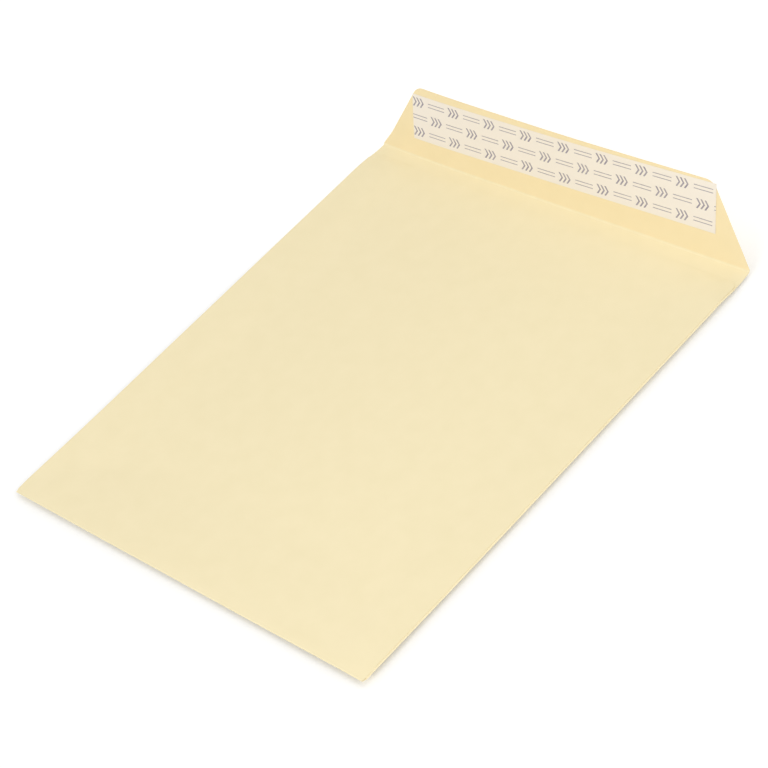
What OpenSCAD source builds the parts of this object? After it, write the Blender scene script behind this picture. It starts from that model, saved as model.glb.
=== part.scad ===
// Open-end pocket envelope of cream paper with a peel-off closure.
// One sheet makes the front panel, two side tabs, the back panel and the flap.
// It lies on its front panel with the back panel up and the flap standing open.
// X runs across the pocket, Y runs up it to the mouth and Z points up.
// The origin is the middle of the face that the envelope rests on.

/* [Pocket] */
// Width across the two side folds
body_w = 254; // [120:1:400]
// Length from the bottom fold to the flap fold
body_l = 305; // [160:1:450]
// Thickness of the paper
paper_t = 0.15; // [0.08:0.01:0.3]
// Gap inside a side fold, between the front panel and the tab
fold_gap = 0.35; // [0.1:0.05:1]

/* [Side seams] */
// Width of a side tab, from its fold to its inner edge
tab_w = 18; // [15:0.5:30]
// Distance from the bottom fold to the foot of a tab
tab_foot = 2; // [1:0.5:20]
// Distance from the lip of the back panel down to the head of a tab
tab_drop = 5; // [2:0.5:20]
// Length by which each end of a tab slants towards its inner edge
tab_slant = 9; // [2:0.5:20]
// Distance from a side fold in to the edge of the back panel
back_in = 1; // [0.5:0.1:4]
// Width of the gum line in a seam
gum_w = 9; // [3:0.5:12]
// Thickness of the gum line
gum_t = 0.05; // [0.02:0.01:0.2]

/* [Throat] */
// Distance from the flap fold down to the lip of the back panel
throat_d = 9; // [8:0.5:40]
// Radius of the two ends of the lip
lip_r = 6; // [1:0.5:20]

/* [Flap] */
// Depth of the flap, from its fold to its edge
flap_d = 44; // [34:1:90]
// Distance from a side fold in to the corner of the flap's edge
flap_in = 26; // [8:1:50]
// Distance from a side fold in to the flap's foot
foot_in = 1.2; // [0.5:0.1:4]
// Radius of the flap's two corners
flap_r = 8; // [1:0.5:12]
// Angle by which the flap stands up from the pocket
flap_angle = 73; // [10:1:120]
// Inner radius of the crease that the flap turns on
crease_r = 1.5; // [0.5:0.1:3]

/* [Closure] */
// Width of the release liner, measured up the flap
liner_w = 27.5; // [24:0.5:30]
// Thickness of the release liner
liner_t = 0.07; // [0.04:0.01:0.15]
// Distance from the flap's edge down to the liner
liner_top = 3; // [0.5:0.5:3.5]
// Reach of the liner's left end past the flap's left corner
liner_left = 3; // [0:0.5:4]
// Reach of the liner's right end past the flap's right corner
liner_right = 2.5; // [1:0.5:4]
// Width of the adhesive strip under the liner
glue_w = 20; // [10:0.5:23]
// Thickness of the adhesive strip
glue_t = 0.05; // [0.02:0.01:0.2]
// Distance by which the adhesive stops short of each end of the liner
glue_end = 4; // [2:0.5:15]

/* [Detail] */
// Number of flat faces that draw each fold and each rounded corner
steps = 8; // [4:1:16]

/* [Hidden] */

// Room by which a cutting shape passes the paper that it cuts
spare = 1;
// Outer radius of a side fold
side_r = paper_t + fold_gap / 2;
// Height of the closed pocket, from the front panel to the top of the back panel
stack_h = 2 * side_r + gum_t + paper_t;
// Width of the flat front panel between the side folds
front_w = body_w - 2 * side_r;
// Places along Y of the bottom fold, the flap fold and the lip
bottom_y = -body_l / 2;
fold_y = body_l / 2;
lip_y = fold_y - throat_d;
// Ends of the side tabs along Y
tab_y0 = bottom_y + tab_foot;
tab_y1 = lip_y - tab_drop;
// Distance across the folded sheet over which the crease runs out of a flat panel
fold_run = (crease_r + paper_t) * tan(flap_angle / 2);
// Middle of a seam, halfway between the tab's inner edge and the back panel's edge
seam_x = (body_w - tab_w - back_in) / 2;
// Corner of the flap's edge, and ends of the liner, along X
corner_x = body_w / 2 - flap_in;
liner_x0 = -corner_x - liner_left;
liner_x1 = corner_x + liner_right;
// Lower edge of the liner, and of the adhesive centred under it, up the flap
liner_y = flap_d - liner_top - liner_w;
glue_y = liner_y + (liner_w - glue_w) / 2;

// Points along an arc about a centre, from one angle to another
function arc(centre, r, from, to) =
    [for (i = [0:steps]) let (a = from + (to - from) * i / steps) centre + r * [cos(a), sin(a)]];

// The same points in the other order, and on the other side of the middle line
function reversed(points) = [for (i = [len(points) - 1:-1:0]) points[i]];
function mirrored(points) = [for (p = points) [-p[0], p[1]]];

// Right half of a panel's outline, from its foot up a straight side and round a corner
function half_outline(foot, top, r) =
    let (lean = atan2(top[1] - foot[1], top[0] - foot[0]) - 90)
    concat([foot], arc([top[0] - r * (1 - sin(lean)) / cos(lean), top[1] - r], r, lean, 90));

// Everything round a panel's outline, as the shape that trims the sheet to it
module surround(half) {
    side = body_w / 2 + spare;
    top = half[len(half) - 1][1] + 2 * spare;
    foot = half[0][1];
    polygon(concat([[side, foot], [side, top], [-side, top], [-side, foot]], mirrored(half), reversed(half)));
}

// Strip of paper across the pocket, from its profile in Y and Z
module across(width) {
    rotate([90, 0, 90]) linear_extrude(height = width, center = true) children();
}

// The flap's own frame: Y runs up the flap from its fold, Z out of its gummed face
module on_flap() {
    translate([0, fold_y, 0])
        translate([0, -fold_run, paper_t + crease_r])
            rotate([flap_angle, 0, 0])
                translate([0, -fold_run, -crease_r])
                    children();
}

// Front panel, bottom fold and back panel, before the back panel is trimmed
module pocket_strip() {
    r = stack_h / 2;
    turn = [r, r];
    front_end = body_l - fold_run;
    back_end = body_l - throat_d + spare;
    translate([0, bottom_y, 0])
        across(front_w)
            polygon(concat(
                [[back_end, stack_h]],
                arc(turn, r, 90, 270),
                [[front_end, 0], [front_end, paper_t]],
                arc(turn, r - paper_t, 270, 90),
                [[back_end, stack_h - paper_t]]));
}

// Flap with its crease, and a tail that runs into the front panel
module flap_strip() {
    turn = [-fold_run, paper_t + crease_r];
    along = [cos(flap_angle), sin(flap_angle)];
    up = [-along[1], along[0]];
    edge = turn + (flap_d - fold_run + spare) * along;
    tail = -fold_run - spare;
    translate([0, fold_y, 0])
        across(front_w)
            polygon(concat(
                [[tail, 0]],
                arc(turn, crease_r + paper_t, -90, flap_angle - 90),
                [edge - (crease_r + paper_t) * up, edge - crease_r * up],
                arc(turn, crease_r, flap_angle - 90, -90),
                [[tail, paper_t]]));
}

// What the die takes off the back panel: its sides, and the round ends of its lip
module back_trim() {
    edge_x = body_w / 2 - back_in;
    mid_gap = paper_t + fold_gap / 2;
    translate([0, 0, mid_gap])
        linear_extrude(height = stack_h)
            surround(half_outline([edge_x, bottom_y - spare], [edge_x, lip_y], lip_r));
    for (side = [-1, 1])
        translate([side * (edge_x + back_in), bottom_y, 0])
            cube([2 * back_in, stack_h, 4 * stack_h], center = true);
}

// What the die takes off the shoulders between the side tabs and the flap's foot
module shoulder_trim() {
    edge_x = body_w / 2 - foot_in;
    far = fold_y + flap_d;
    for (side = [0, 1])
        mirror([side, 0, 0])
            translate([0, 0, -spare])
                linear_extrude(height = flap_d + 2 * spare)
                    polygon([
                        [front_w / 2, tab_y1],
                        [edge_x, fold_y - fold_run],
                        [edge_x, far],
                        [body_w, far],
                        [body_w, tab_y1]]);
}

// What the die takes off the flap: its slanted sides and the corners of its edge
module flap_trim() {
    on_flap()
        translate([0, 0, -paper_t - spare])
            linear_extrude(height = paper_t + 2 * spare)
                surround(half_outline([body_w / 2 - foot_in, fold_run], [corner_x, flap_d], flap_r));
}

// Side fold with its tab, on the right of the pocket
module side_tab() {
    inner = body_w / 2 - tab_w;
    turn = [front_w / 2, side_r];
    flat_x = turn[0] - spare;
    difference() {
        translate([0, (tab_y0 + tab_y1) / 2, 0])
            rotate([90, 0, 0])
                linear_extrude(height = tab_y1 - tab_y0, center = true)
                    polygon(concat(
                        [[flat_x, 0]],
                        arc(turn, side_r, -90, 90),
                        [[inner, 2 * side_r], [inner, 2 * side_r - paper_t]],
                        arc(turn, side_r - paper_t, 90, -90),
                        [[flat_x, paper_t]]));
        translate([0, 0, side_r])
            linear_extrude(height = stack_h)
                tab_slants(inner, turn[0]);
    }
}

// The two wedges that slant the ends of a tab
module tab_slants(inner, outer) {
    rise = tab_slant / (outer - inner);
    for (end = [[tab_y0, 1], [tab_y1, -1]])
        polygon([
            [outer, end[0]],
            [inner - spare, end[0] + end[1] * (tab_slant + spare * rise)],
            [inner - spare, end[0] - end[1] * spare],
            [outer, end[0] - end[1] * spare]]);
}

// The whole sheet, folded: panels, tabs and flap in one piece
module envelope_blank() {
    color("#f2e4bb") {
        difference() {
            union() {
                pocket_strip();
                flap_strip();
            }
            back_trim();
            shoulder_trim();
            flap_trim();
        }
        side_tab();
        mirror([1, 0, 0]) side_tab();
    }
}

// Gum that holds the back panel to the tab of one side
module side_seam_gum(side) {
    length = tab_y1 - tab_y0 - 2 * tab_slant;
    color("#e6ddc4")
        translate([side * seam_x - gum_w / 2, tab_y0 + tab_slant, 2 * side_r])
            cube([gum_w, length, gum_t]);
}

module side_seam_gum_left() {
    side_seam_gum(-1);
}

module side_seam_gum_right() {
    side_seam_gum(1);
}

// Pressure-sensitive strip on the flap, under the liner
module adhesive_strip() {
    color("#ece7d2")
        on_flap()
            translate([liner_x0 + glue_end, glue_y, 0])
                cube([liner_x1 - liner_x0 - 2 * glue_end, glue_w, glue_t]);
}

// Silicone-coated strip that is peeled off before the flap is closed
module release_liner() {
    color("#eee6d8")
        on_flap()
            translate([liner_x0, liner_y, glue_t])
                cube([liner_x1 - liner_x0, liner_w, liner_t]);
}

envelope_blank();
side_seam_gum_left();
side_seam_gum_right();
adhesive_strip();
release_liner();
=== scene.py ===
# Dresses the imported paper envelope: one folded sheet, its gum lines, and the strip on its flap.
# Every piece is modelled straight, at the CAD sizes, and then settled as paper lies on a table.
import math

import bmesh
import bpy
from mathutils import Matrix, Vector


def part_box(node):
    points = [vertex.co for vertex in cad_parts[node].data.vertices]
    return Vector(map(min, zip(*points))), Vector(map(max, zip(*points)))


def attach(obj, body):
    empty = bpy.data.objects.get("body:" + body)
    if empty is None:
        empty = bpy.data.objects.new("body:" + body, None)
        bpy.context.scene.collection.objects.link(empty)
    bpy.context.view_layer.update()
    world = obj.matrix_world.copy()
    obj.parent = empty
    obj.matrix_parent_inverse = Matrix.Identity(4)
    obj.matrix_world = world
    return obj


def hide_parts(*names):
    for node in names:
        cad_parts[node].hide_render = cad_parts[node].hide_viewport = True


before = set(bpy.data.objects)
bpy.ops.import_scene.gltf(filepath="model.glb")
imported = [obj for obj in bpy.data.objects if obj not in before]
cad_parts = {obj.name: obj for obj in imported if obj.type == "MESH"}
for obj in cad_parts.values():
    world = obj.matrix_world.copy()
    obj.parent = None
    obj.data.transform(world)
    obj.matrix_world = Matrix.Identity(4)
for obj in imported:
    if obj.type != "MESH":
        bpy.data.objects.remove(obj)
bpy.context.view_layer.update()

MM = 0.001
NEAR = 0.01 * MM

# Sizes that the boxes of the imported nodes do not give, as the part's source has them
PAPER_T = 0.15 * MM
TAB_W = 18 * MM
TAB_SLANT = 9 * MM
BACK_IN = 1 * MM
THROAT_D = 9 * MM
LIP_R = 6 * MM
FLAP_IN = 26 * MM
FOOT_IN = 1.2 * MM
FLAP_R = 8 * MM
FLAP_ANGLE = math.radians(73)
CREASE_R = 1.5 * MM

# The pocket, from the folded sheet's box and the gum line that fills its right seam
blank_low, blank_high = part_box("envelope_blank")
gum_low, gum_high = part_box("side_seam_gum_right")
HALF_W = blank_high.x
BOTTOM_Y = blank_low.y
FOLD_Y = -blank_low.y
LIP_Y = FOLD_Y - THROAT_D
SIDE_R = gum_low.z / 2
STACK_H = gum_high.z + PAPER_T
FRONT_HALF = HALF_W - SIDE_R
BACK_HALF = HALF_W - BACK_IN
TAB_X = HALF_W - TAB_W
TAB_Y0 = gum_low.y - TAB_SLANT
TAB_Y1 = gum_high.y + TAB_SLANT

# Heights of the middle of the paper in the front panel, the tabs and the back panel
FRONT_Z = PAPER_T / 2
TAB_Z = 2 * SIDE_R - PAPER_T / 2
BACK_Z = STACK_H - PAPER_T / 2

# The flap's own frame: X across, Y up the flap from its fold, Z out of its gummed face
FOLD_RUN = (CREASE_R + PAPER_T) * math.tan(FLAP_ANGLE / 2)
CREASE_Y = FOLD_Y - FOLD_RUN
CREASE_AXIS = Vector((0, CREASE_Y, PAPER_T + CREASE_R))
FLAP_FRAME = (
    Matrix.Translation(CREASE_AXIS)
    @ Matrix.Rotation(FLAP_ANGLE, 4, "X")
    @ Matrix.Translation((0, -FOLD_RUN, -CREASE_R))
)
TO_FLAP = FLAP_FRAME.inverted()
UP_THE_FLAP = Vector((0, math.cos(FLAP_ANGLE), math.sin(FLAP_ANGLE)))
OUT_OF_FLAP = Vector((0, -math.sin(FLAP_ANGLE), math.cos(FLAP_ANGLE)))
INTO_CREASE = Vector((0, -math.sin(FLAP_ANGLE / 2), math.cos(FLAP_ANGLE / 2)))


def box_on_flap(node):
    """Lowest and highest corner of a CAD node, measured in the flap's frame."""
    points = [TO_FLAP @ v.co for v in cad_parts[node].data.vertices]
    low = Vector([min(p[i] for p in points) for i in range(3)])
    high = Vector([max(p[i] for p in points) for i in range(3)])
    return low, high


FLAP_D = box_on_flap("envelope_blank")[1].y
CORNER_X = HALF_W - FLAP_IN
LINER_LOW, LINER_HIGH = box_on_flap("release_liner")

# Spacing of the rows and columns that let the paper bend, and steps round each bend and corner
CELL = 3 * MM
STRIP_CELL = 2 * MM
FOLD_STEPS = 10
CORNER_STEPS = 6
GUM_STEPS = 4
SMOOTH_UNDER = math.radians(35)

# How the empty envelope lies: its edges curl up a little and its middle touches the table.
# A place along the pocket is -1 at its bottom fold, 0 at its middle and 1 at the flap's fold.
SIDE_CURL = 3.2 * MM
SIDE_FADES_FROM = 0.8
LEFT_FADE = 0.6
FOOT_CURL = 3.2 * MM
FOOT_CURLS_FROM = 0.6
CORNER_SHARE = 0.9
CORNER_TWIST = 0.4 * MM
COCKLE = 0.12 * MM
COCKLE_LENGTH = 95 * MM
COCKLE_SLANT = 0.4
COCKLE_STRETCH = 1.6

# The layers of the pocket: the back panel's slack, and the ends of the side folds pressed down
BACK_SAG = 0.45 * MM
SAG_RUN = 14 * MM
END_PRESS = 0.33 * MM
PRESS_RUN = 4 * MM

# The mouth's left side splays out, and flares at the foot of the flap
MOUTH_SPLAY = 1.9 * MM
FOOT_FLARE = 1.0 * MM
FLARE_HEIGHT = 0.3

# The crease is soft and stands a little off the table, more so on the right.
# The flap leans with it and bows about its mean plane.
CREASE_RISE = 0.9 * MM
CREASE_RISES_FROM = 0.75
CREASE_LEAN = 0.8
CREASE_SOFT = 0.6 * MM
CREASE_SPREAD = 4 * MM
FOLD_SKEW = 1.0 * MM
FLAP_SKEW = 0.7 * MM
FLAP_BOW = 1.6 * MM
BOW_BALANCE = 0.33

# The strip on the flap is laid a little askew, and its right end curls; the gum has round ends
STRIP_SKEW = math.radians(1.0)
LINER_CURL = 0.1 * MM
LINER_CURL_RUN = 9 * MM
GUM_ROUND = 3 * MM


def ease(t):
    """Smooth step from 0 to 1."""
    t = min(max(t, 0.0), 1.0)
    return t * t * (3 - 2 * t)


def towards_end(along, start):
    """How far a place along the pocket is on its way from start to the end, from 0 to 1."""
    return ease((along - start) / (1 - start))


def lift(x, y):
    """Height by which the settled envelope stands off the table at a place.

    Where two curled edges meet at a corner, most of the smaller curl is left out.
    """
    across = x / HALF_W
    along = y / FOLD_Y
    fade = 1.0 if across > 0 else LEFT_FADE
    side = SIDE_CURL * across ** 4 * (1 - fade * towards_end(along, SIDE_FADES_FROM))
    foot = FOOT_CURL * towards_end(-along, FOOT_CURLS_FROM)
    shared = CORNER_SHARE * min(side, foot)
    twist = CORNER_TWIST * max(0.0, -across * along) ** 2
    crease = CREASE_RISE * (1 + CREASE_LEAN * across) * towards_end(along, CREASE_RISES_FROM)
    wave = math.sin(math.tau * (x + COCKLE_SLANT * y) / COCKLE_LENGTH)
    wave *= math.cos(math.tau * y / (COCKLE_STRETCH * COCKLE_LENGTH))
    return side + foot - shared + twist + crease + COCKLE * (1 + wave) / 2


def pressed_down(x, y, z):
    """How far the layers of the pocket are pressed together at the two ends of each side fold."""
    ends = max(ease(2 - (y - BOTTOM_Y) / PRESS_RUN), ease(1 + (y - TAB_Y1) / TAB_SLANT))
    return END_PRESS * ends * ease((abs(x) - TAB_X) / TAB_W) * min((z - FRONT_Z) / (TAB_Z - FRONT_Z), 1.0)


def sagged_down(x, y, z):
    """How far the back panel sags on to the front panel, away from its seams and its bottom fold."""
    off_seam = max(ease((TAB_X - abs(x)) / SAG_RUN), ease((y - TAB_Y1) / (LIP_Y - TAB_Y1)))
    slack = off_seam * ease((y - BOTTOM_Y) / SAG_RUN)
    return BACK_SAG * slack * (z - TAB_Z) / (BACK_Z - TAB_Z)


def settle(point):
    """Where a point of the straight envelope comes to lie once the paper has settled."""
    x, y, z = point
    in_pocket = y < LIP_Y + NEAR
    up_flap = (TO_FLAP @ point).y
    height = min(max(up_flap / FLAP_D, 0.0), 1.0)
    bow = FLAP_BOW * ((x / CORNER_X) ** 2 - BOW_BALANCE) * height ** 2
    skew = FLAP_SKEW * x / CORNER_X * height
    moved = Vector(point) - bow * OUT_OF_FLAP + skew * UP_THE_FLAP
    moved.z += lift(x, min(y, FOLD_Y))
    down = pressed_down(x, y, z) if in_pocket else 0.0
    if in_pocket and z > TAB_Z + NEAR:
        down = max(down, sagged_down(x, y, z))
    else:
        away = max(CREASE_Y - y, up_flap - FOLD_RUN, 0.0)
        moved += CREASE_SOFT * math.exp(-(away / CREASE_SPREAD) ** 2) * INTO_CREASE
        moved.y += FOLD_SKEW * x / HALF_W * ease((y - TAB_Y1) / (CREASE_Y - TAB_Y1))
    moved.z -= down
    if x < 0:
        splay = MOUTH_SPLAY * ease((1 + y / FOLD_Y) / 2)
        flare = FOOT_FLARE * towards_end(y / FOLD_Y, SIDE_FADES_FROM) * ease(1 - height / FLARE_HEIGHT)
        moved.x += (splay + flare) * x / HALF_W
    return moved


def settle_piece(piece):
    """Lay a whole piece down with the envelope."""
    for vertex in piece.data.vertices:
        vertex.co = settle(vertex.co)


# Materials
def linear(hex_colour):
    """An sRGB hex colour as the linear colour that the shader takes."""
    channels = [int(hex_colour[i:i + 2], 16) / 255 for i in (1, 3, 5)]
    return [c / 12.92 if c <= 0.04045 else ((c + 0.055) / 1.055) ** 2.4 for c in channels] + [1.0]


def add_node(tree, kind, inputs=None, **settings):
    """Add a shader node with its settings; each input is a value or another node's output."""
    made = tree.nodes.new(kind)
    for name, value in settings.items():
        setattr(made, name, value)
    for name, value in (inputs or {}).items():
        if isinstance(value, bpy.types.NodeSocket):
            tree.links.new(value, made.inputs[name])
        else:
            made.inputs[name].default_value = value
    return made


# Nearly all of the noise lies between these two values
NOISE_LOW, NOISE_HIGH = 0.3, 0.7


def grain(tree, size_mm, detail, low=0.0, high=1.0):
    """Soft noise between two values, on the object's own coordinates, with features of a real size."""
    place = add_node(tree, "ShaderNodeTexCoord").outputs["Object"]
    noise = add_node(
        tree, "ShaderNodeTexNoise", {"Vector": place, "Scale": 1 / (size_mm * MM), "Detail": detail}
    )
    ends = {"From Min": NOISE_LOW, "From Max": NOISE_HIGH, "To Min": low, "To Max": high}
    return add_node(tree, "ShaderNodeMapRange", {"Value": noise.outputs["Fac"], **ends}).outputs["Result"]


def new_material(name, colours, roughness, ior, pattern=None, relief=None):
    """A material of one colour, or of two that a pattern runs between, with a relief of fine grain.

    The pattern is a function that adds its nodes to the tree and gives back the factor. The
    relief is given as its grain in mm, its detail, its strength and its depth in mm.
    """
    material = bpy.data.materials.new(name)
    material.use_nodes = True
    tree = material.node_tree
    shader = tree.nodes["Principled BSDF"]
    shader.inputs["Base Color"].default_value = linear(colours[0])
    shader.inputs["Roughness"].default_value = roughness
    shader.inputs["IOR"].default_value = ior
    if pattern is not None:
        # Sockets 0, 6 and 7 of a colour mix are its factor and its two colours, and 2 is what it gives
        ends = {0: pattern(tree), 6: linear(colours[0]), 7: linear(colours[1])}
        mix = add_node(tree, "ShaderNodeMix", ends, data_type="RGBA")
        tree.links.new(mix.outputs[2], shader.inputs["Base Color"])
    if relief is not None:
        size_mm, detail, strength, depth_mm = relief
        height = grain(tree, size_mm, detail)
        depth = {"Height": height, "Strength": strength, "Distance": depth_mm * MM}
        bump = add_node(tree, "ShaderNodeBump", depth)
        tree.links.new(bump.outputs["Normal"], shader.inputs["Normal"])
    return material


def fibre_clouds(tree):
    """Faint clouds of about 11 mm, where the paper's fibres lie denser."""
    return grain(tree, 11, 3)


def cream_wove_paper(name, thin, dense):
    """Cream wove paper of 120 g/m2: cast on a fine woven wire, sized and lightly calendered.

    The eye sees a matt even cream with very faint clouds where the fibres lie denser, and a
    fine tooth. The tooth is about 0.3 mm on real paper and is drawn at 0.8 mm, so that it shows.
    On the raised flap the same paper is given a warmer colour: painted light, standing in for the light
    that comes through the flap there.
    """
    return new_material(name, (thin, dense), 0.75, 1.47, fibre_clouds, relief=(0.8, 3, 0.12, 0.03))


# Print on the liner, in millimetres: staggered rows of three chevrons and a pair of rules
ROW_PITCH, ROW_FIRST, ROW_SHIFT = 9, 5, 13
UNIT_PITCH = 26
CHEVRON_START, CHEVRON_PITCH, CHEVRON_STROKE = 2, 2.6, 1.1
CHEVRON_HALF_HEIGHT, CHEVRON_SLOPE = 2.75, 0.7
RULE_MIDDLE, RULE_HALF_LENGTH, RULE_OFFSET, RULE_HALF_WIDTH = 17.5, 6, 1.0, 0.22


def liner_print(tree):
    """Mask of the ink: 1 on a chevron or a rule. The liner's UV map gives the place on the strip."""
    place = add_node(tree, "ShaderNodeUVMap").outputs["UV"]
    axes = add_node(tree, "ShaderNodeSeparateXYZ", {0: place}).outputs
    size = (LINER_HIGH - LINER_LOW) / MM
    chevrons = 3 * CHEVRON_PITCH / 2
    values = {"u": axes["X"], "v": axes["Y"]}
    for name, operation, *terms in (
        ("along", "MULTIPLY", "u", size.x),
        ("rows", "MULTIPLY_ADD", "v", size.y / ROW_PITCH, 0.5 - ROW_FIRST / ROW_PITCH),
        ("row", "FLOOR", "rows"),
        ("part", "FRACT", "rows"),
        ("off", "MULTIPLY_ADD", "part", ROW_PITCH, -ROW_PITCH / 2),
        ("off", "ABSOLUTE", "off"),
        ("shifted", "MULTIPLY_ADD", "row", ROW_SHIFT, "along"),
        ("unit", "FLOORED_MODULO", "shifted", UNIT_PITCH),
        ("slanted", "MULTIPLY_ADD", "off", CHEVRON_SLOPE, "unit"),
        ("slanted", "SUBTRACT", "slanted", CHEVRON_START),
        ("stroke", "FLOORED_MODULO", "slanted", CHEVRON_PITCH),
        ("stroke", "LESS_THAN", "stroke", CHEVRON_STROKE),
        ("three", "COMPARE", "slanted", chevrons, chevrons),
        ("inside", "LESS_THAN", "off", CHEVRON_HALF_HEIGHT),
        ("chevron", "MULTIPLY", "stroke", "three"),
        ("chevron", "MULTIPLY", "chevron", "inside"),
        ("line", "COMPARE", "off", RULE_OFFSET, RULE_HALF_WIDTH),
        ("length", "COMPARE", "unit", RULE_MIDDLE, RULE_HALF_LENGTH),
        ("rule", "MULTIPLY", "line", "length"),
        ("ink", "MAXIMUM", "chevron", "rule"),
    ):
        inputs = {i: values[term] if isinstance(term, str) else term for i, term in enumerate(terms)}
        values[name] = add_node(tree, "ShaderNodeMath", inputs, operation=operation).outputs[0]
    return values["ink"]


def flexo_ink(tree):
    """How much ink lies at a place: the print, with a body that is a little uneven."""
    body = grain(tree, 2.5, 2, 0.72, 0.95)
    ink = add_node(tree, "ShaderNodeMath", {0: liner_print(tree), 1: body}, operation="MULTIPLY")
    return ink.outputs[0]


def printed_release_paper():
    """Outer side of the liner: white calendered kraft, printed in one thin grey flexo ink.

    The eye sees a satin off-white, and a print that is uneven in places, as flexo ink lies.
    """
    colours = "#f3ebdf", "#857f90"
    return new_material("printed_release_paper", colours, 0.42, 1.47, flexo_ink, (1.2, 2, 0.06, 0.02))


def siliconed_release_paper():
    """Inner side of the liner: the same kraft under a cured silicone film, so smooth and glossy."""
    return new_material("siliconed_release_paper", ["#f1ece2"], 0.22, 1.43, relief=(4, 2, 0.05, 0.03))


def gum_patches(tree):
    """Patches of about 3 mm, where the gum was rolled on thicker."""
    return grain(tree, 3, 2)


def dried_seam_gum():
    """Dextrin gum, rolled on wet and dried in the seam: a pale tan film with a dull gloss."""
    colours = "#dccfa6", "#e8dfc0"
    return new_material("dried_seam_gum", colours, 0.38, 1.5, gum_patches, relief=(1.5, 2, 0.3, 0.02))


def acrylic_adhesive():
    """Pressure-sensitive acrylic, coated on the flap: a wet-looking film over the cream paper."""
    return new_material("acrylic_adhesive", ["#ece4c9"], 0.12, 1.48, relief=(2, 2, 0.15, 0.02))


# Modelling by hand
def lay_grid(name, low, high, cells, place=None):
    """A flat sheet between two corners, in the row's frame or in the one given."""
    bpy.ops.object.select_all(action="DESELECT")
    size = high - low
    bpy.ops.mesh.primitive_grid_add(
        x_subdivisions=cells[0], y_subdivisions=cells[1], size=1, location=(low + high) / 2
    )
    piece = bpy.context.active_object
    piece.name = name
    piece.data.name = name
    piece.scale = (size.x, size.y, 1)
    bpy.context.view_layer.update()
    if place is not None:
        piece.matrix_world = place @ piece.matrix_world
    bpy.ops.object.transform_apply(location=True, rotation=True, scale=True)
    return piece


def pick_edges(piece, belongs):
    """In edit mode, select the edges that have both ends where belongs says."""
    bpy.ops.mesh.select_mode(type="EDGE")
    bpy.ops.mesh.select_all(action="DESELECT")
    mesh = bmesh.from_edit_mesh(piece.data)
    for edge in mesh.edges:
        edge.select_set(all(belongs(v.co) for v in edge.verts))
    bmesh.update_edit_mesh(piece.data)


# Narrowing to the middle line: across the pocket alone, towards its middle
TO_MIDDLE_LINE = ((1, 0, 0), (0, 0, 0))


def draw_out(way, rows, narrowing):
    """Extrude the picked row along way through rows of (distance, half width), narrowing it.

    The narrowing is given as 1 for each axis that it acts on, and the point that it runs towards.
    """
    axes, centre = narrowing
    for (distance, half), (next_distance, next_half) in zip(rows, rows[1:]):
        step = way * (next_distance - distance)
        bpy.ops.mesh.extrude_region_move(TRANSFORM_OT_translate={"value": step})
        ratio = next_half / half
        bpy.ops.transform.resize(value=[ratio if axis else 1 for axis in axes], center_override=centre)


def straight_rows(start, end, half_start, half_end):
    """Rows a cell apart whose half width runs evenly from one value to the other."""
    count = max(1, round(abs(end - start) / CELL))
    steps = [i / count for i in range(count + 1)]
    return [(start + (end - start) * s, half_start + (half_end - half_start) * s) for s in steps]


def rounded_rows(foot, top, radius):
    """Rows up a straight side from foot to top, given as (half width, distance), and round its corner."""
    lean = math.atan2(top[1] - foot[1], top[0] - foot[0]) - math.pi / 2
    centre = (top[0] - radius * (1 - math.sin(lean)) / math.cos(lean), top[1] - radius)
    arc = []
    for i in range(CORNER_STEPS + 1):
        turn = lean + (math.pi / 2 - lean) * i / CORNER_STEPS
        arc.append((centre[1] + radius * math.sin(turn), centre[0] + radius * math.cos(turn)))
    return straight_rows(foot[1], arc[0][0], foot[0], arc[0][1]) + arc[1:]


def give_thickness(piece, thickness, back_slot=0):
    """Thicken a sheet by half to each side; its back takes the material that many slots on."""
    solid = piece.modifiers.new("paper thickness", "SOLIDIFY")
    solid.thickness = thickness
    solid.offset = 0
    solid.material_offset = back_slot
    bpy.ops.object.select_all(action="DESELECT")
    piece.select_set(True)
    bpy.context.view_layer.objects.active = piece
    bpy.ops.object.modifier_apply(modifier=solid.name)
    bpy.ops.object.shade_smooth_by_angle(angle=SMOOTH_UNDER)


def fold_sheet():
    """The one sheet, at the middle of its paper: front panel, folds, tabs, back panel and flap."""
    low = Vector((-FRONT_HALF, TAB_Y0, FRONT_Z))
    high = Vector((FRONT_HALF, TAB_Y1, FRONT_Z))
    cells = (round(2 * FRONT_HALF / CELL), round((TAB_Y1 - TAB_Y0) / CELL))
    sheet = lay_grid("envelope_sheet", low, high, cells)
    bpy.ops.object.mode_set(mode="EDIT")
    fold_tabs(sheet)
    raise_flap(sheet)
    close_back(sheet)
    bpy.ops.mesh.select_all(action="SELECT")
    bpy.ops.mesh.normals_make_consistent(inside=False)
    bpy.ops.object.mode_set(mode="OBJECT")
    return sheet


def fold_tabs(sheet):
    """Side folds, and the tabs with slanted ends that turn in over the front panel."""
    middle = (TAB_Y0 + TAB_Y1) / 2
    half = (TAB_Y1 - TAB_Y0) / 2
    for side in (-1, 1):
        pick_edges(sheet, lambda p: abs(p.x - side * FRONT_HALF) < NEAR)
        turn = Vector((side * FRONT_HALF, 0, SIDE_R))
        bpy.ops.mesh.spin(steps=FOLD_STEPS, angle=math.pi, center=turn, axis=(0, side, 0))
        rows = straight_rows(0, FRONT_HALF - TAB_X, half, half - TAB_SLANT)
        draw_out(Vector((-side, 0, 0)), rows, ((0, 1, 0), (0, middle, TAB_Z)))


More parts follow.
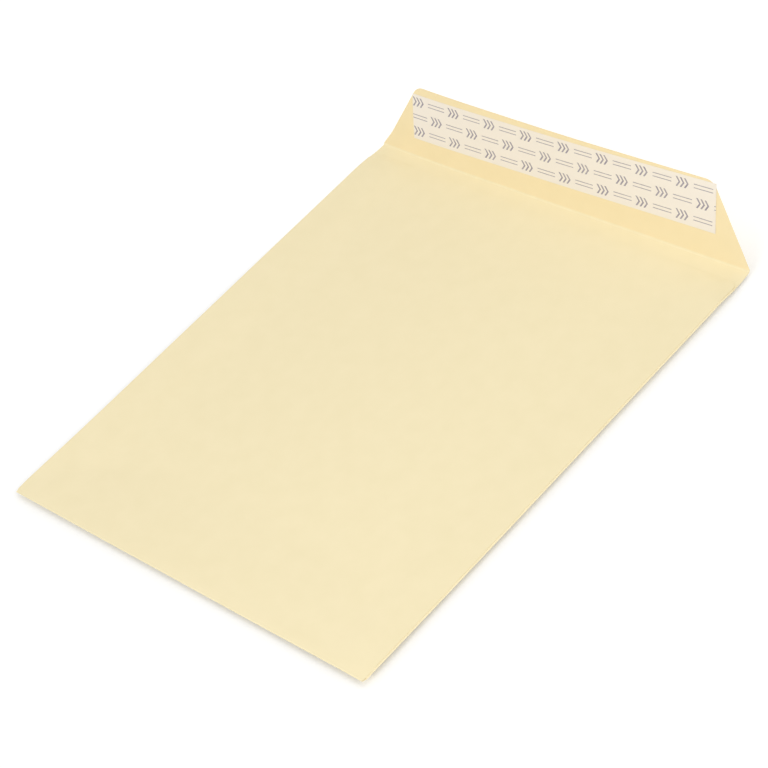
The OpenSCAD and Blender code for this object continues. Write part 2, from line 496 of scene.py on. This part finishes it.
def raise_flap(sheet):
    """Shoulders above the tabs, the crease, and the flap with its slanted sides and round corners."""
    foot = HALF_W - FOOT_IN
    pick_edges(sheet, lambda p: p.y > TAB_Y1 - NEAR and abs(p.z - FRONT_Z) < NEAR)
    draw_out(Vector((0, 1, 0)), straight_rows(TAB_Y1, CREASE_Y, FRONT_HALF, foot), TO_MIDDLE_LINE)
    bpy.ops.mesh.spin(steps=FOLD_STEPS, angle=FLAP_ANGLE, center=CREASE_AXIS, axis=(-1, 0, 0))
    sides = rounded_rows((foot, FOLD_RUN), (CORNER_X, FLAP_D), FLAP_R)
    draw_out(UP_THE_FLAP, sides, TO_MIDDLE_LINE)


def close_back(sheet):
    """Bottom fold, and the back panel up to its lip."""
    turn_y = BOTTOM_Y + STACK_H / 2
    pick_edges(sheet, lambda p: p.y < TAB_Y0 + NEAR and abs(p.z - FRONT_Z) < NEAR)
    sides = straight_rows(-TAB_Y0, -turn_y, FRONT_HALF, BACK_HALF)
    draw_out(Vector((0, -1, 0)), sides, TO_MIDDLE_LINE)
    bpy.ops.mesh.spin(
        steps=FOLD_STEPS, angle=math.pi, center=(0, turn_y, STACK_H / 2), axis=(1, 0, 0)
    )
    sides = rounded_rows((BACK_HALF, turn_y), (BACK_HALF, LIP_Y), LIP_R)
    draw_out(Vector((0, 1, 0)), sides, TO_MIDDLE_LINE)


def paper_sheet():
    """The folded sheet in its paper: the pocket's colour, and above the crease a warmer copy of it with
    painted light coming through the raised flap.
    """
    sheet = fold_sheet()
    sheet.data.materials.append(cream_wove_paper("cream_wove_paper", "#f4e6bc", "#f6e8bf"))
    sheet.data.materials.append(cream_wove_paper("cream_wove_paper_painted_light_through_flap", "#f4e2b4", "#f6e4b7"))
    # Faces above the crease take the warmer copy: painted light coming through the raised flap, on the
    # same paper
    for face in sheet.data.polygons:
        face.material_index = int((TO_FLAP @ face.center).y > FOLD_RUN)
    settle_piece(sheet)
    give_thickness(sheet, PAPER_T)
    return sheet


def gum_line(name, node, gum):
    """A dried gum line in a side seam: a flat bead with round ends."""
    low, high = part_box(node)
    thickness = high.z - low.z
    middle_z = (low.z + high.z) / 2
    low, high = Vector((low.x, low.y, middle_z)), Vector((high.x, high.y, middle_z))
    cells = (2, round((high.y - low.y) / CELL))
    bead = lay_grid(name, low, high, cells)
    bpy.ops.object.mode_set(mode="EDIT")
    pick_corners(bead, low, high)
    bpy.ops.mesh.bevel(offset=GUM_ROUND, segments=GUM_STEPS, affect="VERTICES")
    bpy.ops.object.mode_set(mode="OBJECT")
    settle_piece(bead)
    bead.data.materials.append(gum)
    give_thickness(bead, thickness)
    return bead


def pick_corners(piece, low, high):
    """In edit mode, select the four corner points of a flat piece."""
    bpy.ops.mesh.select_mode(type="VERT")
    bpy.ops.mesh.select_all(action="DESELECT")
    mesh = bmesh.from_edit_mesh(piece.data)
    for vertex in mesh.verts:
        at_side = min(abs(vertex.co.x - low.x), abs(vertex.co.x - high.x)) < NEAR
        at_end = min(abs(vertex.co.y - low.y), abs(vertex.co.y - high.y)) < NEAR
        vertex.select_set(at_side and at_end)
    bmesh.update_edit_mesh(piece.data)


# The strip and its adhesive are laid on together, a little askew about the liner's middle
STRIP_MIDDLE = Matrix.Translation((LINER_LOW + LINER_HIGH) / 2)
STRIP_TURN = STRIP_MIDDLE @ Matrix.Rotation(STRIP_SKEW, 4, "Z") @ STRIP_MIDDLE.inverted()


def flap_strip(name, node, materials, curl=0.0):
    """A strip on the flap, laid in the flap's frame; curl turns its free right end up."""
    low, high = box_on_flap(node)
    middle_z = (low.z + high.z) / 2
    corners = Vector((low.x, low.y, middle_z)), Vector((high.x, high.y, middle_z))
    cells = (round((high.x - low.x) / STRIP_CELL), round((high.y - low.y) / STRIP_CELL))
    place = FLAP_FRAME @ STRIP_TURN
    strip = lay_grid(name, *corners, cells, place)
    for vertex in strip.data.vertices:
        free = (vertex.co.x - high.x) / LINER_CURL_RUN + 1
        vertex.co += OUT_OF_FLAP * curl * max(free, 0.0) ** 2
    settle_piece(strip)
    for material in materials:
        strip.data.materials.append(material)
    give_thickness(strip, high.z - low.z, len(materials) - 1)
    return strip


# Camera, fitted to the outline in the photograph
CAMERA_AT = Vector((791.0, -549.7, 868.3)) * MM
LOOKS_AT = Vector((-23.8, -41.4, 0.0)) * MM
CAMERA_ROLL = math.radians(-21.87)
LENS_MM = 117.4
VIEW_SHIFT = (0.117, 0.053)


def set_camera():
    """A camera at the photograph's viewing angle."""
    camera = bpy.data.objects.new("camera", bpy.data.cameras.new("camera"))
    bpy.context.scene.collection.objects.link(camera)
    turn = (LOOKS_AT - CAMERA_AT).to_track_quat("-Z", "Y").to_matrix().to_4x4()
    camera.matrix_world = Matrix.Translation(CAMERA_AT) @ turn @ Matrix.Rotation(CAMERA_ROLL, 4, "Z")
    camera.data.lens = LENS_MM
    camera.data.shift_x, camera.data.shift_y = VIEW_SHIFT
    camera.data.clip_start = 0.01
    bpy.context.scene.camera = camera


# Light: an even white tent, and three soft lamps overhead, in front and on the right
TENT_LEVEL = 0.69
LAMPS = {
    "overhead_lamp": {"level": 0.12, "at": (0.5, 0.2, 1.4), "size": 1.0},
    "front_lamp": {"level": 0.10, "at": (0.3, -1.2, 0.7), "size": 0.6},
    "right_lamp": {"level": 0.09, "at": (0.95, -0.2, 0.8), "size": 0.5},
}


def set_light():
    """Lamps and world; a level is the brightness that each gives a white sheet at the origin."""
    for name, lamp in LAMPS.items():
        at = Vector(lamp["at"])
        data = bpy.data.lights.new(name, "AREA")
        data.shape = "DISK"
        data.size = lamp["size"]
        data.energy = lamp["level"] * math.pi ** 2 * at.length_squared * at.length / at.z
        area = bpy.data.objects.new(name, data)
        area.location = at
        area.rotation_mode = "QUATERNION"
        area.rotation_quaternion = at.to_track_quat("Z", "Y")
        area.visible_camera = False
        bpy.context.scene.collection.objects.link(area)
    world = bpy.data.worlds.new("white tent")
    bpy.context.scene.world = world
    world.use_nodes = True
    tree = world.node_tree
    rays = add_node(tree, "ShaderNodeLightPath").outputs
    seen = add_node(
        tree, "ShaderNodeMath", {0: rays["Is Camera Ray"], 1: rays["Is Glossy Ray"]}, operation="MAXIMUM"
    ).outputs[0]
    seen = add_node(
        tree, "ShaderNodeMath", {0: seen, 1: rays["Is Transmission Ray"]}, operation="MAXIMUM"
    ).outputs[0]
    strength = add_node(
        tree, "ShaderNodeMapRange", {"Value": seen, "To Min": TENT_LEVEL, "To Max": 1.0}
    ).outputs["Result"]
    tree.links.new(strength, tree.nodes["Background"].inputs["Strength"])
    tree.nodes["Background"].inputs["Color"].default_value = (1, 1, 1, 1)


FLOOR_SIZE = 8.0
# Where the floor glows: far from the lamps, and behind the flap, which keeps light off it
FLOOR_GLOW = (
    {"sum": "DISTANCE", "with": (0.4, -0.3, 0), "from": (0.31, 1.5), "to": (0.11, 0.35)},
    {"sum": "DOT_PRODUCT", "with": (-0.45, 0.9, 0), "from": (0.085, 0.125), "to": (0.0, 0.09)},
)


def white_floor():
    """Matt white board that keeps the envelope's shadow. To the camera alone it glows, up to white."""
    material = new_material("white_floor", ["#f4f4f4"], 0.9, 1.45)
    tree = material.node_tree
    shader = tree.nodes["Principled BSDF"]
    shader.inputs["Specular IOR Level"].default_value = 0
    shader.inputs["Emission Color"].default_value = (1, 1, 1, 1)
    place = add_node(tree, "ShaderNodeTexCoord").outputs["Object"]
    glow = 0.0
    for step in FLOOR_GLOW:
        away = add_node(tree, "ShaderNodeVectorMath", {0: place, 1: step["with"]}, operation=step["sum"])
        ends = {"From Min": step["from"][0], "From Max": step["from"][1]}
        ends.update({"To Min": step["to"][0], "To Max": step["to"][1]})
        ramp = add_node(tree, "ShaderNodeMapRange", {"Value": away.outputs["Value"], **ends})
        both = {0: ramp.outputs["Result"], 1: glow}
        glow = add_node(tree, "ShaderNodeMath", both, operation="ADD").outputs[0]
    rays = add_node(tree, "ShaderNodeLightPath").outputs
    seen = add_node(tree, "ShaderNodeMath", {0: rays["Is Camera Ray"], 1: glow}, operation="MULTIPLY")
    tree.links.new(seen.outputs[0], shader.inputs["Emission Strength"])
    return material


def set_floor():
    """A plain floor under the envelope, out past the edges of the view."""
    bpy.ops.object.select_all(action="DESELECT")
    bpy.ops.mesh.primitive_plane_add(size=FLOOR_SIZE, location=(0, 0, -NEAR))
    floor = bpy.context.active_object
    floor.name = "floor"
    floor.data.materials.append(white_floor())


seam_gum = dried_seam_gum()
release_papers = printed_release_paper(), siliconed_release_paper()
sheet = paper_sheet()
gum_left = gum_line("gum_line_left", "side_seam_gum_left", seam_gum)
gum_right = gum_line("gum_line_right", "side_seam_gum_right", seam_gum)
adhesive = flap_strip("adhesive_film", "adhesive_strip", [acrylic_adhesive()])
liner = flap_strip("liner_strip", "release_liner", release_papers, LINER_CURL)

set_camera()
set_light()
set_floor()
bpy.context.scene.view_settings.view_transform = "Standard"

for piece, node, finish in (
    (sheet, "envelope_blank", "envelope_paper"),
    (gum_left, "side_seam_gum_left", "seam_gum"),
    (gum_right, "side_seam_gum_right", "seam_gum"),
    (adhesive, "adhesive_strip", "adhesive"),
    (liner, "release_liner", "liner_paper"),
):
    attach(piece, "root")
    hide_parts(node)
